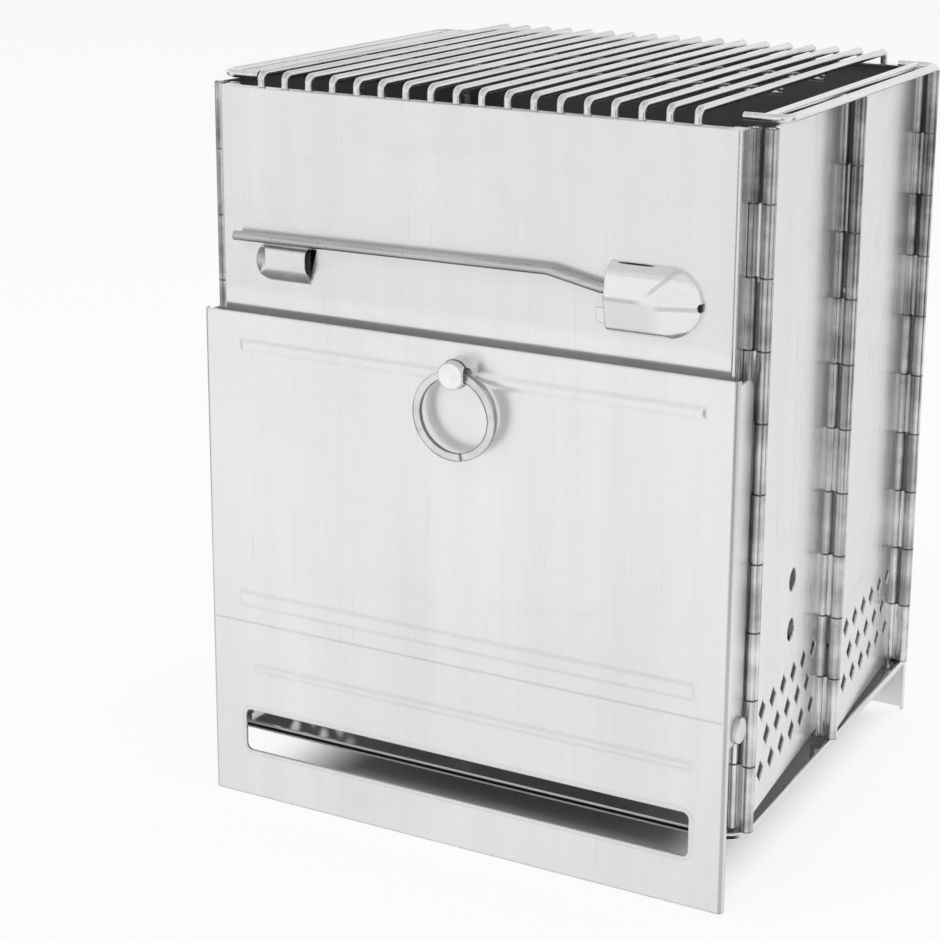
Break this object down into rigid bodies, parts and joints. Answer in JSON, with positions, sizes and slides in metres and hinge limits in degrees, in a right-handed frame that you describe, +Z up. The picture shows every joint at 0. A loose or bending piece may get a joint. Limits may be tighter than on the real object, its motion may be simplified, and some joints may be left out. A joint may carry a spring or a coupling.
{
  "type": "tower wood stove",
  "caption": "Folding sheet-steel tower stove for wood: hinged panels, tilting feed door with pull ring, base pan and a bar grate on top.",
  "frame": {"origin": "on the ground, midway between the sides and midway between the knob's front and the rear panel's back", "axes": "+X to the stove's right as seen from the front, +Y from the front to the back, +Z up; the feed door faces -Y"},
  "size_m": [0.2244, 0.2104, 0.2792],
  "materials": {
    "sheet_steel": "bright satin stainless sheet",
    "pan_steel": "satin stainless sheet",
    "hinge_steel": "rolled stainless sheet",
    "wire_steel": "drawn stainless wire",
    "fitting_steel": "polished stainless"
  },
  "bodies": {
    "rear": {"rear_panel": "sheet_steel", "hinge_links_rear_right": "hinge_steel", "hinge_wire_inner_rear_right": "wire_steel", "hinge_wire_outer_rear_right": "wire_steel", "hinge_links_rear_left": "hinge_steel", "hinge_wire_inner_rear_left": "wire_steel", "hinge_wire_outer_rear_left": "wire_steel"},
    "side_rear_right": {"side_rear_right": "sheet_steel", "hinge_wire_outer_mid_right": "wire_steel"},
    "side_rear_left": {"side_rear_left": "sheet_steel", "hinge_wire_outer_mid_left": "wire_steel"},
    "front": {"front_panel": "sheet_steel", "hinge_wire_inner_front_right": "wire_steel", "hinge_wire_inner_front_left": "wire_steel", "door_pivot_rivets": "fitting_steel", "door_pivot_spacers": "fitting_steel"},
    "door": {"feed_door": "sheet_steel", "knob_stud": "fitting_steel", "knob_washer": "fitting_steel"},
    "ring": {"pull_ring": "fitting_steel"},
    "rod": {"latch_rod": "wire_steel"},
    "pan": {"base_pan": "pan_steel"},
    "grate": {"grate_bars": "wire_steel", "grate_cross_rods": "wire_steel"},
    "side_front_right": {"side_front_right": "sheet_steel", "hinge_links_mid_right": "hinge_steel", "hinge_links_front_right": "hinge_steel", "hinge_wire_inner_mid_right": "wire_steel", "hinge_wire_outer_front_right": "wire_steel"},
    "top_frame_right": {"side_wire_frame_right": "wire_steel"},
    "side_front_left": {"side_front_left": "sheet_steel", "hinge_links_mid_left": "hinge_steel", "hinge_links_front_left": "hinge_steel", "hinge_wire_inner_mid_left": "wire_steel", "hinge_wire_outer_front_left": "wire_steel"},
    "top_frame_left": {"side_wire_frame_left": "wire_steel"}
  },
  "joints": [
    {"name": "fold", "type": "hinge", "parent": "rear", "child": "side_rear_right", "pos_m": [0.102, 0.0937, 0.149], "axis": [0, 0, -1], "range_deg": [0, 90]},
    {"name": "fold_mid_right", "type": "hinge", "parent": "side_rear_right", "child": "side_front_right", "pos_m": [0.1078, 0.0067, 0.149], "axis": [0, 0, 1], "range_deg": [0, 180]},
    {"name": "fold_front", "type": "hinge", "parent": "side_front_right", "child": "front", "pos_m": [0.102, -0.0803, 0.149], "axis": [0, 0, -1], "range_deg": [0, 90]},
    {"name": "fold_rear_left", "type": "hinge", "parent": "rear", "child": "side_rear_left", "pos_m": [-0.102, 0.0937, 0.149], "axis": [0, 0, 1], "range_deg": [0, 90]},
    {"name": "fold_mid_left", "type": "hinge", "parent": "side_rear_left", "child": "side_front_left", "pos_m": [-0.1078, 0.0067, 0.149], "axis": [0, 0, -1], "range_deg": [0, 180]},
    {"name": "pan_drop", "type": "slide", "parent": "rear", "child": "pan", "axis": [0, 0, -1], "range_m": [0, 0.126]},
    {"name": "door_tilt", "type": "hinge", "parent": "front", "child": "door", "pos_m": [0, -0.0883, 0.066], "axis": [1, 0, 0], "range_deg": [0, 11]},
    {"name": "ring_swing", "type": "hinge", "parent": "door", "child": "ring", "pos_m": [0.0025, -0.1017, 0.1815], "axis": [-1, 0, 0], "range_deg": [-4, 120]},
    {"name": "rod_slide", "type": "slide", "parent": "front", "child": "rod", "axis": [-1, 0, 0], "range_m": [0, 0.032]},
    {"name": "grate_lift", "type": "slide", "parent": "rear", "child": "grate", "axis": [0, 0, 1], "range_m": [0, 0.06]},
    {"name": "top_frame_lift_right", "type": "slide", "parent": "rear", "child": "top_frame_right", "axis": [0, 0, 1], "range_m": [0, 0.03]},
    {"name": "top_frame_lift_left", "type": "slide", "parent": "rear", "child": "top_frame_left", "axis": [0, 0, 1], "range_m": [0, 0.03]}
  ],
  "couplings": [
    {"joint": "fold_mid_right", "follows": "fold", "ratio": 2},
    {"joint": "fold_front", "follows": "fold", "ratio": 1},
    {"joint": "fold_rear_left", "follows": "fold", "ratio": 1},
    {"joint": "fold_mid_left", "follows": "fold", "ratio": 2},
    {"joint": "pan_drop", "follows": "fold", "m_per_rad": 0.0802}
  ]
}
